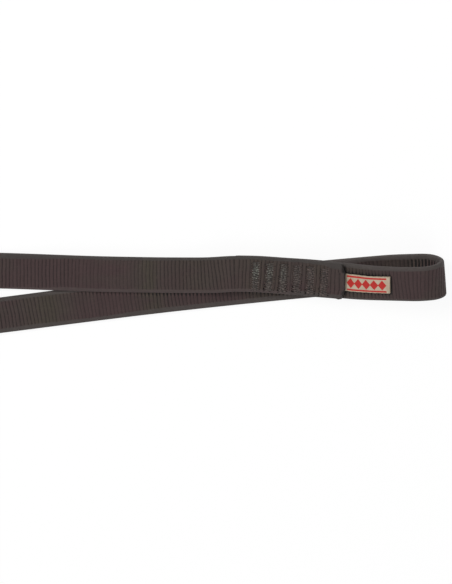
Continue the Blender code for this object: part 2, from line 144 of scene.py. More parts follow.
GREYS = (  # greyer or, under 0, more mauve: along, shift
    (0, 0), (0.05, 0.1), (0.076, 0.1), (0.088, -0.3), (0.1, -0.4), (0.112, 0),
    (0.225, 0), (0.245, -0.4), (0.272, -0.4), (0.277, 0.25), (0.31, 0.2), (0.33, 0),
    (1.07, 0), (1.09, -0.4), (1.152, -0.4), (1.16, 0.4), (1.205, 0.5), (1.225, 0.3),
    (1.236, -0.2), (1.25, -0.2),
)
OLIVE_PATCHES = (  # where the dye runs greener: along, half length, share
    (0.056, 0.006, 0.45), (0.126, 0.012, 0.45), (0.18, 0.013, 0.65),
    (0.2365, 0.006, 0.75), (0.286, 0.008, 1), (0.37, 0.016, 0.6), (0.465, 0.01, 0.8),
    (0.59, 0.018, 0.55), (0.745, 0.012, 0.75), (0.85, 0.02, 0.6), (0.95, 0.009, 0.85),
    (1.05, 0.014, 0.55), (1.1615, 0.004, 1), (1.184, 0.012, 0.35), (1.213, 0.01, 0.6),
    (1.238, 0.005, 0.55),
)
# Painted shade on the eye's inner face, and painted light on its ribs where the share
# is highest, near the tip
CAVITY = (  # how dark the inner face is inside the eye: along, share
    (0.09, 0), (0.0985, 0.5), (0.104, 0.9), (0.109, 1), (0.1188, 1), (0.1215, 0.48),
    (0.144, 0.46), (0.148, 0),
)
COVERED = (0.14, 0.30)  # here the lower leg can lie under the upper one
SEAM_EDGE = (0.200, 0.006)  # along: where the seam over it ends, and how gradually
SEAM_STEP_MM = 0.8  # the seam stands higher and hides this much less
UNCOVERED_MM = 99.0

# How uneven the weave is. A wave is its height, the length that a radian takes
# and its start.
LEAN_WAVE = (0.00014, 0.021)
BOW_WAVE = (0.00030, 0.033, 1.3)
CROSS_WAVE, CROSS_RADIANS = (0.00008, 0.0035), 700.0
BAND_WAVE = (0.00008, 0.0083)
WIDTH_WAVE = (0.0035, 0.019)
RELIEF_WAVES = ((0.16, 0.0071), (1.0, 0.0173, 0.6))
RIB_LEAN, RIB_BOW, RIB_SHIFT = 0.00013, 0.00008, 0.00013  # each rib's own
RIB_DEPTH, RIB_CREST = 0.25, 0.00003
BAND_RAGGED = 0.00010
LEAST_BAND = 0.00116
BAND_SLOPE = 0.00040  # where the ribs run out

# The strap's faces and ends
EDGE_CURVE = ((0.0, 0.0), (0.00003, 0.00042), (0.00025, 0.00082), (0.00072, 0.00106))
FACE_CROWN = 0.00006
TACK_PRESS = 0.00026  # how far a tack pulls the webbing's face in
TACK_FLATTENS = 0.45  # and how much of the grooves it takes away
PRESS_REACH = 0.52 * TACK_WIDTH
SEALED = (0.0001, 0.0006)  # the hardened ends: from the cut, and how gradual
SEALED_THINNER = 0.18
END_BULGE, END_REACH = 0.0010, 0.0030  # the outer cut end reaches out over the
END_STEP = (0.0042, 0.0046)  # label and steps back between these, across the strap
END_CORNER = (0.0002, 0.0009)  # how far its corners are cut back, over what width
END_BEAD = (0.00032, 0.0013, 0.0008, 0.0011)  # a melted bump: size, place, spreads
MELT_RINGS = ((0.00018, 0.72, 0.992), (0.00030, 0.34, 0.975))  # out, thick, wide
BAKE_ROWS = 6  # stretches of the strap in the baked picture

# Stitching
STROKES = 25  # of one bar tack's zigzag, on each face
STITCH_THREAD = 0.00036
THREAD_SIDES = 6
STROKE_MARKS = (  # places in a stroke, and the thread's height there
    (0.0, -0.00036), (0.05, -0.00012), (0.13, 0.0), (0.35, 0.00005),
    (0.65, 0.00005), (0.87, 0.0), (0.95, -0.00012),
)
LIFTS, SAG = (-0.00004, 0.00012), 0.00012  # of single strokes
PLY_TURNS = 3.4  # of the thread's plies in one stroke
CORNER_PAST = 0.00005  # the zigzag's corners: past the tack's long sides,
CORNER_SHORT = 0.0002  # short of its ends, and how scattered
CORNER_SCATTER = (0.00022, 0.00013)
LONG_STITCHES = (-0.00085, 0.00075)  # under the zigzag, off the tack's middle
LONG_STITCH_DEPTH = 0.00018
TACK_FADES = (0.0, 0.24, 0.40, 0.82, 0.93, 1.0)  # 0 is fresh thread
FRESH_AT = 0.17  # share of the length, above the tack's middle
FRESH_SPREAD = (1.2, 0.26)  # millimetres along, share of the length across
HOLE_SIDES = 10
HOLE_SIZES = (0.00011, 0.00030)
LOW_HOLES = -0.24  # larger holes below this share of the length
LOW_HOLE_SIZES = (0.0001375, 0.000375)
STRAY_HOLES, STRAY_HOLES_AT = 9, (0.10, 0.49)  # in each of the middle tacks
ROW_HOLES, ROW_HOLES_AT = (-0.66, -0.40, 0.10, 0.62), (0.425, 0.445)
ROW_HOLE_SIZES = (0.00022, 0.00031)
HOLE_SHIFTS = (0.00018, 0.00040)

# The label
LABEL_INSET = 0.0002  # at each long side, inside the label's solid
LABEL_OBLIQUE = 0.12  # its fold is a little off square
LABEL_LEAF = 0.00026  # thickness of one of its two leaves
LEAF_GAP = 0.00006  # between them, at the least
FOLD_ROOM = 0.00006  # how much the fold is thicker than the solid, each way
FOLD_STEPS = 8
LABEL_BEND = 0.0006  # how far before and after the label's root two points are worked out; nothing uses them

# The photograph
FRAME_WIDTH = 0.20545  # seen from side to side where the camera aims
CAMERA_DISTANCE = 2.0
CAMERA_TILT = math.radians(22.0)
AIM = (0.1958, 0.00547, 0.0)

MM = 1000.0  # the finishes count in millimetres
EDGE_MM = WEBBING_WIDTH / 2 * MM
END_MM = OVERLAP_LENGTH * MM
LABEL_MM = LABEL_WIDTH / 2 * MM
LABEL_END_MM = (OVERLAP_LENGTH + LABEL_ROOT + LABEL_FLAP_LENGTH) * MM

rng = np.random.default_rng(11)


# ---- lines

def route_points():
    """Centre points of the strap, with the roll as a fourth number."""
    layer = WEBBING_THICKNESS + TOUCH_GAP
    thread = THREAD_DIAMETER + TOUCH_GAP
    points = []
    for row in ROUTE:
        x, y, layers, threads, lift, roll = (*row, 0.0, 0.0, 0.0, 0.0)[:6]
        z = WEBBING_THICKNESS / 2 + layers * layer + threads * thread + lift
        points.append((x - ROUTE_MIDDLE[0], y - ROUTE_MIDDLE[1], z, roll))
    return points


def smooth_curve(points):
    """A natural cubic spline through the points. Returns it and its length."""
    p = np.array(points, float)
    knots = np.linalg.norm(np.diff(p[:, :3], axis=0), axis=1)
    along = np.concatenate([[0.0], np.cumsum(knots)])
    count = len(p)
    system = np.eye(count)
    right = np.zeros_like(p)
    for i in range(1, count - 1):
        before, after = knots[i - 1], knots[i]
        system[i, i - 1:i + 2] = (before, 2 * (before + after), after)
        right[i] = 6 * ((p[i + 1] - p[i]) / after - (p[i] - p[i - 1]) / before)
    second = np.linalg.solve(system, right)

    def at(q):
        q = np.atleast_1d(q)
        i = np.clip(np.searchsorted(along, q, side="right") - 1, 0, count - 2)
        left = (along[i + 1] - q)[:, None]
        past = (q - along[i])[:, None]
        span = knots[i][:, None]
        bend = (second[i] * left ** 3 + second[i + 1] * past ** 3) / (6 * span)
        start = (p[i] / span - second[i] * span / 6) * left
        end = (p[i + 1] / span - second[i + 1] * span / 6) * past
        return bend + start + end

    return at, along[-1]


class Line:
    """A centreline with its frames: along the run, across it, and outward."""

    SAMPLES = 4000

    def __init__(self, points):
        at, total = smooth_curve(points)
        values = at(np.linspace(0.0, total, self.SAMPLES))
        self.centre = values[:, :3]
        steps = np.linalg.norm(np.diff(self.centre, axis=0), axis=1)
        self.along = np.concatenate([[0.0], np.cumsum(steps)])
        run = np.gradient(self.centre, self.along, axis=0)
        run /= np.linalg.norm(run, axis=1)[:, None]
        flat = np.array([0.0, 1.0, 0.0]) - run[:, 1:2] * run
        flat /= np.linalg.norm(flat, axis=1)[:, None]
        out = np.cross(run, flat)
        roll = np.radians(values[:, 3])[:, None]
        self.run = run
        self.across = flat * np.cos(roll) + out * np.sin(roll)
        self.out = np.cross(run, self.across)
        self.length = self.along[-1]

    def place(self, u, w, n):
        """Points at u along the line, w across it and n outward, for arrays."""
        u, w, n = np.broadcast_arrays(*(np.asarray(v, float) for v in (u, w, n)))
        inside = np.clip(u, 0.0, self.length)

        def read(table):
            columns = [np.interp(inside, self.along, table[:, k]) for k in range(3)]
            return np.stack(columns, axis=-1)

        def unit(table):
            rows = read(table)
            return rows / np.linalg.norm(rows, axis=-1, keepdims=True)

        centre = read(self.centre) + unit(self.run) * (u - inside)[..., None]
        return centre + unit(self.across) * w[..., None] + unit(self.out) * n[..., None]


def eased(share):
    share = np.clip(share, 0.0, 1.0)
    return share * share * (3 - 2 * share)


def outer_offset(u):
    """From the inner layer's centre out to the outer layer's, at u."""
    start = OVERLAP_LENGTH - LABEL_TAIL_LENGTH - LABEL_RAMP
    gap = TOUCH_GAP + eased((u - start) / LABEL_RAMP) * (LABEL_THICKNESS + TOUCH_GAP)
    return WEBBING_THICKNESS + gap


def layer_shift(u):
    """How far the outer layer lies off the inner one, across the strap."""
    places, shifts = np.array(LAYER_SHIFT_SHARES).T
    return np.interp(u, places * OVERLAP_LENGTH, shifts * WEBBING_WIDTH)


def label_shift(u):
    """How far the label lies off the middle of the eye's layer."""
    root, end = [s * WEBBING_WIDTH for s in LABEL_SIDE_SHIFT_SHARES]
    share = (u - OVERLAP_LENGTH) / LABEL_FLAP_LENGTH
    return root + (end - root) * np.clip(share, 0.0, 1.0)


def tack_centre(index):
    """Where a tack's middle lies, from the inner cut end. The first is 0."""
    last = OVERLAP_LENGTH - END_MARGIN
    return last - (TACK_COUNT - 1 - index) * TACK_PITCH


points = route_points()
inner = Line(points)
laid = []
for u in np.linspace(0.0, OVERLAP_LENGTH, 17):
    laid.append((*inner.place(u, layer_shift(u), outer_offset(u)), 0.0))
whole = Line(points + laid)


# ---- meshes

def mesh_object(name, verts, faces, material, numbers=None, uv=None):
    """An object from arrays. numbers are named values at the points, and uv
    gives each face corner's place in the picture that its finish is baked to."""
    mesh = bpy.data.meshes.new(name)
    mesh.from_pydata(np.asarray(verts).tolist(), [], [list(f) for f in faces])
    for key, values in (numbers or {}).items():
        layer = mesh.attributes.new(key, "FLOAT", "POINT")
        layer.data.foreach_set("value", np.asarray(values, np.float32).ravel())
    if uv is not None:
        layer = mesh.uv_layers.new(name="OFBake")
        layer.data.foreach_set("uv", np.asarray(uv, np.float32).ravel())
    mesh.materials.append(material)
    mesh.shade_smooth()
    mesh.update()
    obj = bpy.data.objects.new(name, mesh)
    scene.collection.objects.link(obj)
    return obj


def grid_faces(rows, sides, first=0):
    """Quads of a tube of rings, each ring's points in a row."""
    i = np.arange(rows - 1)[:, None] * sides + first
    j = np.arange(sides)[None, :]
    k = (j + 1) % sides
    quads = np.stack([i + j, i + k, i + sides + k, i + sides + j], axis=-1)
    return quads.reshape(-1, 4)


def end_faces(rows, sides, first=0):
    """The two faces that close such a tube."""
    start = list(range(first, first + sides))
    return [start[::-1], [k + (rows - 1) * sides for k in start]]


def tube(path, radius):
    """Rings of a round thread along a path in space."""
    p = np.asarray(path, float)
    run = np.gradient(p, axis=0)
    run /= np.linalg.norm(run, axis=1)[:, None]
    side = np.cross(run[0], (0.3, 0.5, 0.8))
    turns = np.linspace(0.0, 2 * math.pi, THREAD_SIDES, endpoint=False)
    rings = []
    for point, direction in zip(p, run):
        side = side - direction * side.dot(direction)
        side /= np.linalg.norm(side)
        other = np.cross(direction, side)
        rings.append(point + radius * (np.cos(turns)[:, None] * side
                                       + np.sin(turns)[:, None] * other))
    return np.array(rings)


# ---- materials

def screen(*levels):
    """A screen colour of levels from 11 to 255, as a shader's linear colour."""
    return (*(((level / 255 + 0.055) / 1.055) ** 2.4 for level in levels), 1.0)


MAUVE = screen(67, 51, 51)
NEUTRAL = screen(67, 56, 53)
OLIVE = screen(66, 59, 50)
EDGE_PINK = screen(77, 66, 65)
EDGE_GREY = screen(70, 65, 63)
FRESH_THREAD = (screen(46, 43, 39), screen(144, 147, 137))  # in shade and lit
DULL_THREAD = (screen(56, 48, 45), screen(110, 95, 90))
BEIGES = (screen(201, 181, 156), screen(213, 196, 172))
REDS = (screen(190, 30, 25), screen(208, 42, 33))


class Value:
    """A number that nodes work out. Sums with it add nodes to its tree."""

    def __init__(self, socket):
        self.socket = socket
        self.tree = socket.id_data

    def __add__(self, other):
        return calculate("ADD", self, other)

    def __sub__(self, other):
        return calculate("SUBTRACT", self, other)

    def __rsub__(self, other):
        return calculate("SUBTRACT", other, self)

    def __mul__(self, other):
        return calculate("MULTIPLY", self, other)

    def __floor__(self):
        return calculate("FLOOR", self)

    def __abs__(self):
        return calculate("ABSOLUTE", self)


def plug(value, socket):
    """Link a value or a node's output to a socket, or set it to a plain value."""
    source = getattr(value, "socket", value)
    if isinstance(source, bpy.types.NodeSocket):
        socket.id_data.links.new(source, socket)
    else:
        socket.default_value = value


def new_node(tree, kind, **settings):
    node = tree.nodes.new(kind)
    for key, setting in settings.items():
        setattr(node, key, setting)
    return node


def calculate(operation, *values):
    tree = next(value.tree for value in values if isinstance(value, Value))
    node = new_node(tree, "ShaderNodeMath", operation=operation)
    for value, socket in zip(values, node.inputs):
        plug(value, socket)
    return Value(node.outputs[0])


def largest(first, *others):
    for value in others:
        first = calculate("MAXIMUM", first, value)
    return first


def zigzag(value, height):
    """Up from 0 to height and down again, over and over, as the value grows."""
    return calculate("PINGPONG", value, height)


def ramp(value, low, high):
    """0 below low and 1 above high."""
    node = new_node(value.tree, "ShaderNodeMapRange", interpolation_type="SMOOTHSTEP")
    plug(value, node.inputs["Value"])
    plug(low, node.inputs["From Min"])
    plug(high, node.inputs["From Max"])
    return Value(node.outputs["Result"])


def fall(value, low, high):
    """1 below low and 0 above high."""
    return 1.0 - ramp(value, low, high)


def noise(tree, scale, detail, rough=0.5):
    node = new_node(tree, "ShaderNodeTexNoise")
    plug(scale, node.inputs["Scale"])
    plug(detail, node.inputs["Detail"])
    plug(rough, node.inputs["Roughness"])
    return node


def patches(x, y, per_x, per_y, detail=2.0, rough=0.5, z=0.0):
    """Noise over a surface, with a scale each way."""
    place = new_node(x.tree, "ShaderNodeCombineXYZ")
    for value, socket in zip((x * per_x, y * per_y, z), place.inputs):
        plug(value, socket)
    node = noise(x.tree, 1.0, detail, rough)
    plug(place.outputs[0], node.inputs["Vector"])
    return Value(node.outputs["Fac"])


def white(value):
    """Any number from 0 to 1, the same for the same value."""
    node = new_node(value.tree, "ShaderNodeTexWhiteNoise", noise_dimensions="1D")
    plug(value, node.inputs["W"])
    return Value(node.outputs["Value"])


def mix(share, a, b):
    node = new_node(share.tree, "ShaderNodeMix", data_type="RGBA")
    for value, socket in ((share, 0), (a, 6), (b, 7)):
        plug(value, node.inputs[socket])
    return node.outputs[2]


def seen(tree):
    """1 for rays that see a place, and 0 for rays that only light others."""
    path = new_node(tree, "ShaderNodeLightPath").outputs
    rays = ("Is Camera Ray", "Is Glossy Ray", "Is Transmission Ray")
    return largest(*(Value(path[ray]) for ray in rays))


class Finish:
    """A material and what its shader is given."""

    def __init__(self, name, roughness=0.5, specular=0.5):
        self.material = bpy.data.materials.new(name)
        self.material.use_nodes = True
        self.tree = self.material.node_tree
        self.shader = self.tree.nodes["Principled BSDF"]
        self.put("Roughness", roughness)
        self.put("Specular IOR Level", specular)

    def put(self, name, value):
        plug(value, self.shader.inputs[name])

    def number(self, name):
        """A named number of the mesh."""
        node = new_node(self.tree, "ShaderNodeAttribute", attribute_name=name)
        return Value(node.outputs["Fac"])

    def colour(self, colour, light):
        node = new_node(self.tree, "ShaderNodeVectorMath", operation="SCALE")
        plug(colour, node.inputs[0])
        plug(light, node.inputs["Scale"])
        self.put("Base Color", node.outputs[0])

    def bump(self, height, distance, strength):
        """Relief from a height between 0 and 1, distance metres deep."""
        node = new_node(self.tree, "ShaderNodeBump")
        plug(strength, node.inputs["Strength"])
        plug(distance, node.inputs["Distance"])
        plug(height, node.inputs["Height"])
        self.put("Normal", node.outputs["Normal"])

    def sheen(self, weight, rough, tint):
        self.put("Sheen Weight", weight)
        self.put("Sheen Roughness", rough)
        self.put("Sheen Tint", tint)


# Painted shade and light on the webbing, in millimetres
UNDER_LEG = (-2.9, -1.5)  # across, from the upper leg's edge
UNDER_SEAM = (141.0, 150.0)  # along, where the seam begins to lie on the leg
LEGS_PART = ((236.0, 246.0, 0.72), (264.0, 276.0, 0.28))  # and what is lost there
LABEL_OFF_MIDDLE = 0.2
# Painted shade at the outer cut end
NOOK_ALONG = (-2.0, -0.5, 1.1, 1.6)  # from the outer cut end
NOOK_ACROSS = (0.3, 6.5, 7.0)
GREY_EDGE_ENDS = (690.0, 720.0, 1222.0, 1232.0)  # between them the -w edge is pink
YARN_MM, YARN_STEP = 0.42, 0.21  # the pitch, and the step from a rib to the next


def webbing_finish():
    """Dark brown grey polyamide: cross ribs of lengthwise yarns."""
    f = Finish("webbing_weave", specular=0.35)
    rib, ribbed = f.number("rib"), f.number("ribbed")
    sealed, outer = f.number("sealed"), f.number("outer")
    across = f.number("across") * MM
    along = rib * (RIB_PITCH * MM)
    cavity = f.number("cavity") * ribbed
    band = 1.0 - ribbed

    # the groove between two ribs, with its painted shade, and what each rib has of its
    # own
    rib_index = math.floor(rib)
    own = white(rib_index)
    ragged = patches(along, across, 0.9, 0.55, rough=0.6)
    off_groove = zigzag(rib, 0.5)
    groove = fall(off_groove, 0.02, 0.25) * ribbed
    groove *= f.number("relief") * ramp(ragged, 0.15, 0.55)
    crevice = fall(off_groove, 0.10, 0.30) * ribbed
    gap = fall(off_groove, 0.21, 0.31) * ribbed

    # painted shade where the other leg lies on the strap, and painted light on the rib
    # crests there, against the real shadow
    under = ramp(across - f.number("cover"), *UNDER_LEG) * ramp(along, *UNDER_SEAM)
    painted_light_under = under * (1.0 - crevice)
    (part, close, loss), (further, away, rest) = LEGS_PART
    under *= 1.0 - ramp(along, part, close) * loss - ramp(along, further, away) * rest

    # painted shade round the label and under the outer cut end
    off_label = abs(across + LABEL_OFF_MIDDLE)
    on_label = along - across * LABEL_OBLIQUE

    def round_label(near, far, end_near, end_far):
        """1 on the label's place. It falls to 0 from near to far beyond its long
        sides, and in the same way beyond its fold."""
        return (fall(off_label, LABEL_MM + near, LABEL_MM + far)
                * fall(on_label, LABEL_END_MM + end_near, LABEL_END_MM + end_far))

    # painted shade round the label: a soft band beside it and a dark line at its edges,
    # weaker on its own place
    showing = (1.0 - round_label(-1.2, -0.3, -1.2, -0.3) * 0.75) * outer
    beside = round_label(0.5, 1.9, 0.0, 1.2) * ramp(along, END_MM, END_MM + 1.5)
    line = round_label(0.2, 0.6, 0.9, 1.4) * ramp(along, END_MM, END_MM + 0.5)
    # painted shade under the other leg and round the label
    painted_shade = largest(under, beside * showing)
    # painted shadow of the outer cut end on the layer beneath it
    a, b, c, d = (END_MM + place for place in NOOK_ALONG)
    middle, edge, end = NOOK_ACROSS
    nook = ramp(along, a, b) * fall(along, c, d) * fall(abs(across - middle), edge, end)

    # yarns run along the strap and step sideways from rib to rib
    yarn_place = calculate("MODULO", rib_index, 2.0) * YARN_STEP + across
    yarn_place += patches(along, across, 0.25, 1.5, detail=1.0) * 0.35
    yarn_index = math.floor(calculate("DIVIDE", yarn_place, YARN_MM))
    yarn_own = white(yarn_index + rib_index * 7.31)
    yarn = ramp(zigzag(yarn_place, YARN_MM / 2), 0.0, 0.16)
    fibre = patches(along, across, 1.2, 14.0, detail=3.0, rough=0.65)
    speck = patches(along, across, 5.0, 5.0, rough=0.7)

    # colour: mauve brown, greyer or greener in places and paler at the edges
    cloud = ramp(patches(along, across, 0.030, 0.05), 0.40, 0.60) + f.number("grey")
    streak = patches(along, across, 0.16, 0.16)
    green = f.number("green") * ramp(streak, 0.18, 0.58)
    a, b, c, d = GREY_EDGE_ENDS
    grey_edge = largest(ramp(across, -2.0, 2.0), fall(along, a, b), ramp(along, c, d))
    colour = mix(green, mix(cloud, MAUVE, NEUTRAL), OLIVE)
    colour = mix(band * 0.85, colour, mix(grey_edge, EDGE_PINK, EDGE_GREY))

    # how light each place is, and the dark places, which are painted shade; painted
    # light lifts some crests and the edge bands
    light = own * 0.10 + 0.95
    light *= streak * 0.16 + 0.92
    light *= yarn_own * 0.10 + 0.95
    light *= fibre * 0.30 + 0.85
    light *= yarn * 0.08 + 0.95
    # painted shade in the grooves
    light *= calculate("MINIMUM", 1.04 - groove * 0.72, 1.0)
    # painted shade inside the eye, and painted light on its ribs near the tip
    light *= 1.0 - zigzag(cavity, 0.5) * 0.12
    light *= ramp(cavity, 0.7, 1.0) * 0.40 + 1.0
    # painted light on the rib crests beside the other leg
    light *= painted_light_under * 0.45 + 1.0
    # painted shade: grooves inside the eye, under the other leg, round the label and at
    # the outer cut end
    dark = largest(gap * ramp(cavity, 0.38, 0.95), crevice * painted_shade, painted_shade * 0.10,
                   nook * outer, line * showing * 0.85)
    light *= 1.0 - dark * 0.94
    worn = ramp(abs(across), EDGE_MM - 0.8, EDGE_MM) * ramp(speck, 0.45, 0.7)
    light += worn * 0.12
    light *= 1.0 - sealed * 0.35
    # painted light and shade on the edge bands
    light *= (f.number("tone") - 1.0) * band + 1.0
    f.colour(colour, light)

    # relief: yarns, and the close slanted picks of the smooth edge
    pick = ramp(zigzag(abs(across) * 0.55 + along, 0.28), 0.0, 0.22)
    height = (yarn * 0.55 + fibre * 0.35 + speck * 0.15) * ribbed
    height += (pick * 0.5 + speck * 0.3) * band
    f.bump(height * (1.0 - sealed * 0.8), 0.00012, 0.8)
    f.put("Roughness", fibre * 0.18 + 0.70 - sealed * 0.15)
    f.sheen(0.08, 0.45, screen(190, 180, 172))
    return f.material


def thread_finish():
    """Twisted sewing thread, grey green at the first tack and browner after."""
    f = Finish("stitching_thread", 0.55, 0.45)
    x, y, fade = f.number("tack_x"), f.number("tack_y"), f.number("fade")
    ply = ramp(zigzag(f.number("spiral"), 0.5), 0.05, 0.40)
    # painted light and shade: speckles of lit and shaded thread
    lit = ramp(patches(x, y, 1.25, 1.7, rough=0.6), 0.44, 0.56)
    lit *= f.number("own") * 0.7 + 0.5
    colour = mix(fade, mix(lit, *FRESH_THREAD), mix(lit, *DULL_THREAD))
    # painted shade in the gaps between the thread's loops, stronger on the duller tacks
    gap_shade = fall(patches(x, y, 1.5, 1.9, detail=1.0, z=5.0), 0.36, 0.43)
    gap_shade *= ramp(fade, 0.35, 0.75) * 0.4 + 0.6
    f.colour(colour, (ply * 0.30 + 0.74) * (1.0 - gap_shade * 0.72))
    f.bump(ply, 0.00006, 0.7)
    f.sheen(0.06, 0.4, screen(200, 200, 195))
    return f.material


def hole_finish():
    """The shade inside a needle hole."""
    f = Finish("needle_hole_shade", 0.9, 0.1)
    deep = patches(f.number("hole_x"), f.number("hole_y"), 9.0, 9.0)
    f.colour(screen(14, 12, 11)[:3], deep * 0.8 + 0.6)
    return f.material


# The label's cloth and its pattern, in millimetres
WARP_HALF, WEFT_HALF = 0.11, 0.13  # half the yarns' pitches
LINE_AT, LINE_HALF = 3.20, (0.36, 0.48)
DIAMOND_HALF = 1.93  # half a diamond's length
DIAMOND_SLOPE = 1.22
DIAMOND_EDGE = (2.42, 2.62)
FIRST_DIAMOND = 0.65
PATTERN_START, PATTERN_END = (0.62, 0.72), (19.95, 20.1)


def label_finish():
    """Beige woven tape with a red pattern of lines and diamonds."""
    f = Finish("label_weave", 0.65)
    x, y = f.number("label_along") * MM, f.number("label_across") * MM
    warp = ramp(zigzag(y, WARP_HALF), 0.0, 0.09)
    column = math.floor(calculate("DIVIDE", y, 2 * WARP_HALF))
    shifted = column * WEFT_HALF + x
    cloth = warp * ramp(zigzag(shifted, WEFT_HALF), 0.0, 0.10)
    slub = patches(x, y, 3.0, 0.8, detail=3.0, rough=0.6)
    beige = mix(ramp(patches(x, y, 0.22, 0.22), 0.35, 0.65), *BEIGES)
    edge = ramp(abs(y), LABEL_MM - 0.45, LABEL_MM)
    beige = mix(edge * 0.5, beige, screen(168, 143, 120))

    # the pattern: a line along each long side and a row of diamonds between
    ragged = patches(x, y, 3.2, 3.2, detail=1.0)
    shift = ragged * 0.24 - 0.12
    line = fall(abs(abs(y) - LINE_AT) + shift, *LINE_HALF)
    step = DIAMOND_HALF - zigzag(x - FIRST_DIAMOND, DIAMOND_HALF)
    diamond = fall(step * DIAMOND_SLOPE + abs(y) + shift, *DIAMOND_EDGE)
    inside = ramp(x, *PATTERN_START) * fall(x, *PATTERN_END) * f.number("label_front")
    colour = mix(largest(line, diamond) * inside, beige, mix(ragged, *REDS))
    f.colour(colour, (cloth * 0.16 + 0.88) * (slub * 0.16 + 0.92))
    f.bump(slub * 0.3 + cloth, 0.00006, 0.7)
    f.sheen(0.08, 0.4, screen(240, 232, 218))
    return f.material


# ---- camera

camera = bpy.data.cameras.new("camera")
camera.sensor_fit = "HORIZONTAL"
camera.sensor_width = 36.0
camera.lens = camera.sensor_width * CAMERA_DISTANCE / FRAME_WIDTH
camera.clip_start = 0.05
camera.clip_end = 60.0
camera_object = bpy.data.objects.new("camera", camera)
scene.collection.objects.link(camera_object)
towards_camera = Vector((0.0, math.sin(CAMERA_TILT), math.cos(CAMERA_TILT)))
camera_object.location = Vector(AIM) + towards_camera * CAMERA_DISTANCE
camera_object.rotation_euler = (-CAMERA_TILT, 0.0, 0.0)
scene.camera = camera_object


# ---- strap

# What a point of the section keeps to as the edge bands vary in width
MIDDLE, RIBS_END, BAND_START, ITS_PLACE = 0, 1, 2, 9


def look_up(table, along, column=1):
    """A table's column at places along the strap."""
    table = np.array(table)
    return np.interp(along, table[:, 0], table[:, column])


def wave(at, height, radian, start=0.0):
    return height * np.sin(at / radian + start)


def strap_section():
    """The section once round, outer face first: across, outward, how ribbed, and
    what the point keeps to, which is below 0 on the -w side."""
    half = WEBBING_THICKNESS / 2
    side = [(WEBBING_WIDTH / 2 - inward, n, 0.0, ITS_PLACE) for inward, n in EDGE_CURVE]
    side += [(0.0, half, 0.20, BAND_START), (0.0, half, 1.0, RIBS_END)]
    side += [(w, half, 1.0, ITS_PLACE) for w in reversed(END_STEP)]
    mirrored = [(-w, n, ribbed, -kind) for w, n, ribbed, kind in side[:0:-1]]
    outer = side + [(0.0, half, 1.0, MIDDLE)] + mirrored
    return np.array(outer + [(-w, -n, ribbed, -kind) for w, n, ribbed, kind in outer])


def across_places(section, along, ragged):
    """Each ring's points across the strap: its edge bands vary in width."""
    edge = WEBBING_WIDTH / 2
    kind = section[:, 3]
    w = np.repeat(section[None, :, 0], len(along), axis=0)
    for sign, column in ((1, 1), (-1, 2)):
        width = look_up(SELVEDGES, along, column)
        width = width + BAND_RAGGED * ragged[sign] + wave(along, *BAND_WAVE, sign)
        width = np.clip(width, LEAST_BAND, None)[:, None]
        ribs = (kind * sign > 0) & (np.abs(kind) <= RIBS_END)
        w[:, ribs] = kind[None, ribs] * (edge - width)
        w[:, kind * sign == BAND_START] = sign * (edge - width + BAND_SLOPE)
    return w


def upper_leg_edge(along, outward):
    """How far across, in millimetres, the upper leg's edge lies on the strap."""
    middle = whole.place(along, 0.0, 0.0)
    turn = int(np.argmin(middle[:, 0]))
    upper = np.interp(middle[:, 0], middle[turn:, 0], middle[turn:, 1])
    edge = (upper - WEBBING_WIDTH / 2 - middle[:, 1]) * MM
    seam_end, gradual = SEAM_EDGE
    edge = edge - SEAM_STEP_MM * eased((seam_end - along) / gradual)
    start, end = COVERED
    edge = np.where((along > start) & (along < end), edge, UNCOVERED_MM)[:, None]
    return np.where(outward < 0, edge, UNCOVERED_MM)


def tack_press(along, outward, ribbed):
    """Where the tacks pull the seam's two outside faces in."""
    press = np.zeros((len(along), len(outward)))
    along_outer = along - (whole.length - OVERLAP_LENGTH)
    for index in range(TACK_COUNT):
        for local, side in ((along_outer, 1), (along, -1)):
            near = np.exp(-((local - tack_centre(index)) / PRESS_REACH) ** 4)
            press += near[:, None] * (outward == side) * ribbed
    return press


def with_caps(values):
    """The rings' values, and those of the two melted rings at each end."""
    return np.concatenate([values[:1]] * 2 + [values] + [values[-1:]] * 2)


def bake_places(along, w, n):
    """Each face corner's place in the picture that the finish is baked to. It has
    rows, each a stretch of the strap. w and n are one ring's points."""
    sides, quads = len(w), len(along) - 1
    steps = np.hypot(np.diff(np.append(w, w[0])), np.diff(np.append(n, n[0])))
    girth = np.concatenate([[0.0], np.cumsum(steps)]) / np.sum(steps)
    row = np.minimum(np.arange(quads) * BAKE_ROWS // quads, BAKE_ROWS - 1)
    starts = np.array([along[:-1][row == r].min() for r in range(BAKE_ROWS)])
    ends = np.array([along[1:][row == r].max() for r in range(BAKE_ROWS)])
    span = (ends - starts).max()

    def sideways(at):
        return np.repeat((0.004 + 0.992 * (at - starts[row]) / span)[:, None], sides, 1)

    def upward(share):
        return (row[:, None] + 0.04 + 0.88 * share) / BAKE_ROWS

    left, right = sideways(along[:-1]), sideways(along[1:])
    low, high = upward(girth[:-1]), upward(girth[1:])
    corners = ((left, low), (left, high), (right, high), (right, low))
    uv = np.stack([np.stack(corner, -1) for corner in corners], axis=2)
    turns = np.arange(sides)
    end = 0.001 + 0.0005 * np.stack([np.cos(turns), np.sin(turns)], -1)
    return np.concatenate([uv.reshape(-1, 2), end, end])


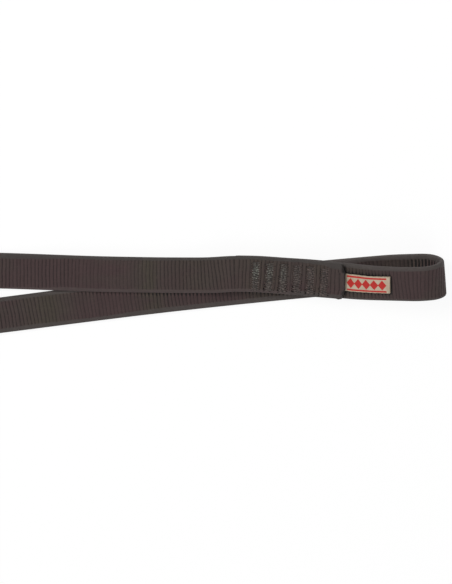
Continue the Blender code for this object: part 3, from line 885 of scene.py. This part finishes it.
def make_strap():
    count = int(round(whole.length / RIB_PITCH))
    phases, depths = np.array(RIB_STATIONS).T
    rib = np.append((np.arange(count)[:, None] + phases).ravel(), count)
    depth = np.append(np.tile(depths, count), 0.0)
    along = rib * (whole.length / count)
    section = strap_section()
    section_n, ribbed = section[:, 1], section[:, 2]
    outward = np.sign(section_n)
    half = WEBBING_WIDTH / 2

    # each rib is a little its own: its height, and how it wanders across
    own = rng.uniform(-1.0, 1.0, count + 2)
    number = np.floor(rib + 1e-9).astype(int)
    crest_number = np.floor(rib + 0.5).astype(int)
    ragged = {sign: rng.uniform(-1.0, 1.0, count + 2)[crest_number] for sign in (1, -1)}
    apart = rng.uniform(-1.0, 1.0, count + 2)
    w = across_places(section, along, ragged)
    share = w / half
    lean = wave(along, *LEAN_WAVE) + RIB_LEAN * own[number]
    bow = wave(along, *BOW_WAVE) + RIB_BOW * own[number + 1]
    shift = lean[:, None] * share + bow[:, None] * (1 - share ** 2)
    shift = shift + wave(along[:, None], *CROSS_WAVE, w * CROSS_RADIANS)
    shift = (shift + RIB_SHIFT * apart[crest_number][:, None]) * ribbed

    # what the finish reads, beside the shape
    relief = look_up(RELIEF, along)
    relief = relief * (1 + math.prod(wave(along, *one) for one in RELIEF_WAVES))
    green = np.zeros(len(along))
    for place, reach, amount in OLIVE_PATCHES:
        patch = 0.85 * amount * np.exp(-np.abs((along - place) / reach) ** 2.6)
        green = np.maximum(green, patch)
    upper_tone, lower_tone = (look_up(EDGE_TONES, along, k)[:, None] for k in (1, 2))
    from_end = np.minimum(along, whole.length - along)
    sealed = 1 - eased((from_end - SEALED[0]) / SEALED[1])

    # the faces: grooves, and where the tacks pull them in
    press = tack_press(along, outward, ribbed)
    groove = GROOVE_DEPTH * relief * (1 + RIB_DEPTH * own[number + 1]) * depth
    groove = groove * (1 - sealed)
    crest = RIB_CREST * own[number] * (1 - depth)
    sink = groove[:, None] * (1 - TACK_FLATTENS * press) * ribbed
    sink = sink + crest[:, None] * ribbed + TACK_PRESS * press
    sink = sink + FACE_CROWN * (share ** 2) * (1 - press)
    n = (section_n - outward * sink) * (1 - SEALED_THINNER * sealed[:, None])
    w = w * (1 + wave(along, *WIDTH_WAVE))[:, None]

    # a small melted bump at the outer end's lower corner
    size, place, spread, spread_w = END_BEAD
    bead = np.exp(-((whole.length - place - along) / spread) ** 2)[:, None]
    w = w - size * bead * np.exp(-((w + half) / spread_w) ** 2)

    # the outer end reaches out over the label, and its corners are cut back
    start, end = END_STEP
    reach = END_BULGE * (1 - eased((np.abs(w) - start) / (end - start)))
    cut, width = END_CORNER
    reach = reach - cut * eased((np.abs(w) - half + width) / width)
    shift = shift + eased(1 - (whole.length - along) / END_REACH)[:, None] * reach

    def melted(end, row, sign):
        u = end + shift[row]
        return [whole.place(u + sign * out, w[row] * wide, n[row] * thick)
                for out, thick, wide in MELT_RINGS]

    rings = np.concatenate([melted(0.0, 0, -1)[::-1],
                            whole.place(along[:, None] + shift, w, n),
                            melted(whole.length, -1, 1)])
    rows, sides = rings.shape[:2]
    faces = list(grid_faces(rows, sides)) + end_faces(rows, sides)
    numbers = {
        "rib": rib[:, None],
        "across": w,
        "ribbed": ribbed,
        "sealed": sealed[:, None],
        "relief": relief[:, None],
        "cavity": look_up(CAVITY, along)[:, None] * (outward < 0),
        "cover": upper_leg_edge(along, outward),
        "outer": outward > 0,
        "green": green[:, None],
        "tone": np.where(w > 0, upper_tone, lower_tone),
        "grey": look_up(GREYS, along)[:, None],
    }
    for name, values in numbers.items():
        numbers[name] = with_caps(np.broadcast_to(values, w.shape))
    uv = bake_places(with_caps(along), w[0], section_n)
    strap = mesh_object("ribbed_webbing", rings.reshape(-1, 3), faces,
                        webbing_finish(), numbers, uv)
    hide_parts("webbing_strap")
    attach(strap, "sling")
    path = whole.place(np.linspace(0.0, whole.length, 400), 0.0, 0.0)


make_strap()


# ---- bar tacks

def zigzag_corners(index):
    """Where a tack's zigzag turns, along and across the strap."""
    reach = TACK_WIDTH / 2 + CORNER_PAST
    half = TACK_LENGTH / 2 - CORNER_SHORT
    scatter_u, scatter_w = CORNER_SCATTER
    corners = []
    for k in range(STROKES + 1):
        side = 1 if k % 2 else -1
        u = tack_centre(index) + side * (reach - abs(rng.normal(0.0, scatter_u)))
        w = -half + 2 * half * k / STROKES + rng.uniform(-scatter_w, scatter_w)
        corners.append((u, w))
    return corners


def zigzag_thread(corners, level, side):
    """The zigzag's path as (along, across, outward), and at each point its shade
    and the turn of its plies."""
    path, own, turns = [], [], []
    for k, ((u0, w0), (u1, w1)) in enumerate(zip(corners, corners[1:])):
        shade = rng.uniform(0.0, 1.0)
        lift = rng.uniform(*LIFTS)
        sag = rng.uniform(-SAG, SAG)
        for share, height in STROKE_MARKS:
            u = u0 + (u1 - u0) * share
            w = w0 + (w1 - w0) * share + sag * math.sin(math.pi * share)
            bulge = lift if height >= 0.0 else 0.0
            path.append((u, w, level(u) + side * (height + bulge)))
            own.append(shade)
            turns.append((k + share) * PLY_TURNS)
    u, w = corners[-1]
    path.append((u, w, level(u) + side * STROKE_MARKS[0][1]))
    return np.array(path), own + own[-1:], turns + [STROKES * PLY_TURNS]


def long_stitch(index, offset, level, side):
    """One of the two long stitches below the zigzag, as zigzag_thread's."""
    centre = tack_centre(index)
    half = TACK_LENGTH / 2 - CORNER_SHORT
    w = np.linspace(-half, half, 30)
    u = centre + offset + 0.00012 * np.sin(w * 1400 + index + offset * 5000)
    n = np.full(len(w), level(centre) - side * LONG_STITCH_DEPTH)
    return np.stack([u, w, n], -1), [0.15] * len(w), np.linspace(0, 40, len(w))


def tack_stitches(index, side, finish):
    """A tack's threads on one face. Returns the corners of its zigzag."""
    radius = STITCH_THREAD / 2
    face = WEBBING_THICKNESS / 2 - TACK_PRESS + radius * 0.80

    def level(u):
        return outer_offset(u) + face if side > 0 else -face

    corners = zigzag_corners(index)
    threads = [zigzag_thread(corners, level, side)]
    threads += [long_stitch(index, offset, level, side) for offset in LONG_STITCHES]
    verts, faces, places, own, spiral = [], [], [], [], []
    for path, shades, turns in threads:
        rings = tube(inner.place(*path.T), radius)
        rows, sides = rings.shape[:2]
        first = sum(len(v) for v in verts)
        verts.append(rings.reshape(-1, 3))
        faces += grid_faces(rows, sides, first).tolist()
        faces += end_faces(rows, sides, first)
        places.append(np.repeat(path[:, :2] * MM, sides, axis=0))
        own.append(np.repeat(shades, sides))
        spiral.append(np.repeat(turns, sides) + np.tile(np.arange(sides) / sides, rows))

    # the thread shows freshest a little above the middle, and along the centre
    x, y = np.concatenate(places).T
    length = TACK_LENGTH * MM
    spread_x, spread_y = FRESH_SPREAD
    inmost = np.exp(-((x - tack_centre(index) * MM) / spread_x) ** 2)
    high = np.exp(-((y - FRESH_AT * length) / (spread_y * length)) ** 2)
    fresh = (0.25 + 0.75 * high) * (0.45 + 0.55 * inmost)
    numbers = {
        "own": np.concatenate(own),
        "spiral": np.concatenate(spiral),
        "tack_x": x + 7 * index,
        "tack_y": y + 31 * (side > 0),
        "fade": 1 - (1 - TACK_FADES[index]) * fresh,
    }
    kind = "needle" if side > 0 else "bobbin"
    obj = mesh_object(f"tack_{index + 1}_{kind}_stitches", np.concatenate(verts), faces,
                      finish, numbers)
    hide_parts(f"bar_tack_{index + 1}_{kind}")
    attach(obj, "sling")
    return corners


def hole_places(index, side, corners):
    """A tack's holes as (along, across, sizes): at the zigzag's corners and, in the
    lower half of a middle tack's outer face, strays and a row."""
    places = list(corners)
    row = []
    if 0 < index < TACK_COUNT - 1 and side > 0:
        centre = tack_centre(index)
        for _ in range(STRAY_HOLES):
            u = centre + rng.uniform(-0.5, 0.5) * TACK_WIDTH
            places.append((u, -TACK_LENGTH * rng.uniform(*STRAY_HOLES_AT)))
        for share in ROW_HOLES:
            w = -TACK_LENGTH * rng.uniform(*ROW_HOLES_AT)
            row.append((centre + share * TACK_WIDTH, w, ROW_HOLE_SIZES))
    low = LOW_HOLES * TACK_LENGTH if index > 0 else -TACK_LENGTH
    return [(u, w, LOW_HOLE_SIZES if w < low else HOLE_SIZES) for u, w in places] + row


def make_tacks():
    finish = thread_finish()
    verts, faces, places = [], [], []
    turns = np.linspace(0.0, 2 * math.pi, HOLE_SIDES, endpoint=False)
    for index in range(TACK_COUNT):
        for side in (1, -1):
            corners = tack_stitches(index, side, finish)
            # each hole is a dark disc, painted shade inside the needle hole
            for k, (u, w, sizes) in enumerate(hole_places(index, side, corners)):
                size = rng.uniform(*sizes)
                u = u + (1 if k % 2 else -1) * rng.uniform(*HOLE_SHIFTS)
                torn = 0.25 * np.sin(2 * turns + 1.7 * k) + 0.15 * np.sin(3 * turns + k)
                torn = size * (1 + torn)
                face = WEBBING_THICKNESS / 2 - TACK_PRESS * 0.40 + 0.00005
                if abs(u - tack_centre(index)) > 0.58 * TACK_WIDTH:
                    face += 0.00008       # beside the tack the webbing stands higher
                n = outer_offset(u) + face if side > 0 else -face
                first = len(verts) * (HOLE_SIDES + 1)
                ring = inner.place(u + torn * np.cos(turns),
                                   w + torn * 0.8 * np.sin(turns), n)
                middle = inner.place(u, w, n + side * 0.00002)
                verts.append(np.vstack([ring, middle]))
                for j in range(HOLE_SIDES):
                    edge = [first + j, first + (j + 1) % HOLE_SIDES]
                    faces.append(edge[::side] + [first + HOLE_SIDES])
                places += [(u * MM, w * MM)] * (HOLE_SIDES + 1)
    hole_x, hole_y = np.array(places).T
    holes = mesh_object("needle_holes", np.concatenate(verts), faces, hole_finish(),
                        {"hole_x": hole_x, "hole_y": hole_y})
    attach(holes, "sling")


make_tacks()


# ---- label

def make_label():
    """One tape, folded at its free end, with both its ends in the seam."""
    start = OVERLAP_LENGTH - LABEL_TAIL_LENGTH
    root = OVERLAP_LENGTH + LABEL_ROOT
    end = root + LABEL_FLAP_LENGTH + TOUCH_GAP
    base = WEBBING_THICKNESS / 2 + TOUCH_GAP
    middle = base + LABEL_THICKNESS / 2
    half = LABEL_WIDTH / 2 - LABEL_INSET
    fold = LABEL_THICKNESS / 2 + FOLD_ROOM
    half_leaf = LABEL_LEAF / 2
    lengthwise = np.concatenate([np.linspace(start, root - 0.0006, 10),
                                 np.linspace(root - 0.0004, root + 0.0012, 9),
                                 np.linspace(root + 0.0020, end - fold, 22)])
    widthwise = np.concatenate([[-half, -half + 0.0001],
                                np.linspace(-half + 0.0005, half - 0.0005, 11),
                                [half - 0.0001, half]])

    def free_share(u):
        """0 up to the label's root and 1 at its fold."""
        return np.clip((u - root) / (end - root), 0.0, 1.0)

    def centre(u):
        """The middle between the leaves, which rises a little off the strap."""
        share = free_share(u)
        return middle + 0.00042 * np.sin(math.pi * share ** 0.8) + 0.00012 * share

    def leaf(sign, off):
        """One leaf's surface, off from its middle, as (along, outward)."""
        apart = half_leaf + LEAF_GAP / 2
        apart = apart + (fold - apart) * free_share(lengthwise) ** 3
        return list(zip(lengthwise, centre(lengthwise) + sign * (apart + off)))

    def round_fold(radius):
        turns = np.linspace(math.pi / 2, -math.pi / 2, FOLD_STEPS + 2)[1:-1]
        u = lengthwise[-1]
        return [(u + radius * math.cos(t), centre(u) + radius * math.sin(t))
                for t in turns]

    def surface(off):
        """From the root over the fold and back, off from the leaves' middles."""
        return leaf(1, off) + round_fold(fold + off) + leaf(-1, off)[::-1]

    u, loop_n = np.array(surface(half_leaf) + surface(-half_leaf)[::-1]).T
    sides, rows = len(u), len(widthwise)
    free = eased((u - root) / 0.004)
    rings = []
    for w in widthwise:
        oblique = free_share(u) * LABEL_OBLIQUE * w
        thinner = 1 - 0.25 * (abs(abs(w) - half) < 1e-6)
        ripple = 0.00005 * np.sin(u * 2100 + (w > 0)) * (abs(w) > half - 0.0003)
        arch = 0.00022 * (1 - (w / half) ** 2) * free
        curl = 0.00010 * np.sin(u * 420 + 0.7) * (w / half) * free
        n = centre(u) + (loop_n - centre(u)) * thinner + arch + curl
        n = np.maximum(n, base - 0.00012)
        rings.append(inner.place(u + oblique, label_shift(u) + w + ripple, n))
    faces = grid_faces(rows, sides).tolist()
    # the two cut sides: quads between the outer and the inner line of the loop
    for first in (0, (rows - 1) * sides):
        for k in range(sides // 2 - 1):
            quad = [first + j for j in (k, k + 1, sides - 2 - k, sides - 1 - k)]
            faces.append(quad if first == 0 else quad[::-1])
    front = np.arange(sides) < len(lengthwise) + FOLD_STEPS // 2
    numbers = {
        "label_along": np.tile(u - root, rows),
        "label_across": np.repeat(widthwise, sides),
        "label_front": np.tile(front, rows),
    }
    verts = np.concatenate(rings)
    label = mesh_object("folded_label", verts, faces, label_finish(), numbers)
    bm = bmesh.new()
    bm.from_mesh(label.data)
    bmesh.ops.recalc_face_normals(bm, faces=bm.faces)
    bm.to_mesh(label.data)
    bm.free()
    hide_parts("label_tail", "label_flap")
    axis = root + TOUCH_GAP / 2
    lift = base + LABEL_THICKNESS
    before = inner.place(axis - LABEL_BEND, label_shift(axis), lift)
    after = inner.place(axis + LABEL_BEND, label_shift(axis), lift)
    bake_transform(label)


make_label()


# ---- studio

WHITE = (1.0, 1.0, 1.0, 1.0)
FLOOR_HALF, FLOOR_DROP = 5.0, 0.0004
FLOOR_GLOW, GLOW_SHARE = 1.05, 0.86
WORLD_LIGHT = 0.34  # the world's strength where it isn't seen
LIGHT_AIM = (0.1, 0.0, 0.0)


def make_floor():
    f = Finish("pale_floor", 0.9, 0.0)
    cloud = Value(noise(f.tree, 0.6, 1.0).outputs["Fac"])
    f.colour(mix(cloud, screen(244, 244, 244), screen(248, 248, 248)), 1.0)
    glow = new_node(f.tree, "ShaderNodeEmission")
    plug(WHITE, glow.inputs["Color"])
    plug(FLOOR_GLOW, glow.inputs["Strength"])
    both = new_node(f.tree, "ShaderNodeMixShader")
    plug(seen(f.tree) * GLOW_SHARE, both.inputs[0])
    plug(f.shader.outputs[0], both.inputs[1])
    plug(glow.outputs[0], both.inputs[2])
    plug(both.outputs[0], f.tree.nodes["Material Output"].inputs["Surface"])
    corners = ((-1, -1), (1, -1), (1, 1), (-1, 1))
    verts = [(x * FLOOR_HALF, y * FLOOR_HALF, -FLOOR_DROP) for x, y in corners]
    floor = mesh_object("floor", verts, [(0, 1, 2, 3)], f.material)


def make_world():
    world = bpy.data.worlds.new("studio")
    scene.world = world
    world.use_nodes = True
    background = world.node_tree.nodes["Background"]
    strength = seen(world.node_tree) * (1.0 - WORLD_LIGHT) + WORLD_LIGHT
    plug(strength, background.inputs["Strength"])
    plug(WHITE, background.inputs["Color"])


def area_light(name, place, size, watts):
    light = bpy.data.lights.new(name, "AREA")
    light.shape = "SQUARE"
    light.size = size
    light.energy = watts
    obj = bpy.data.objects.new(name, light)
    obj.location = place
    direction = Vector(LIGHT_AIM) - Vector(place)
    obj.rotation_euler = direction.to_track_quat("-Z", "Y").to_euler()
    scene.collection.objects.link(obj)


make_floor()
make_world()
area_light("key_light", (-0.55, 0.95, 1.25), 0.6, 14.0)
area_light("fill_light", (0.9, -0.9, 1.4), 1.2, 5.0)

scene.view_settings.view_transform = "Standard"
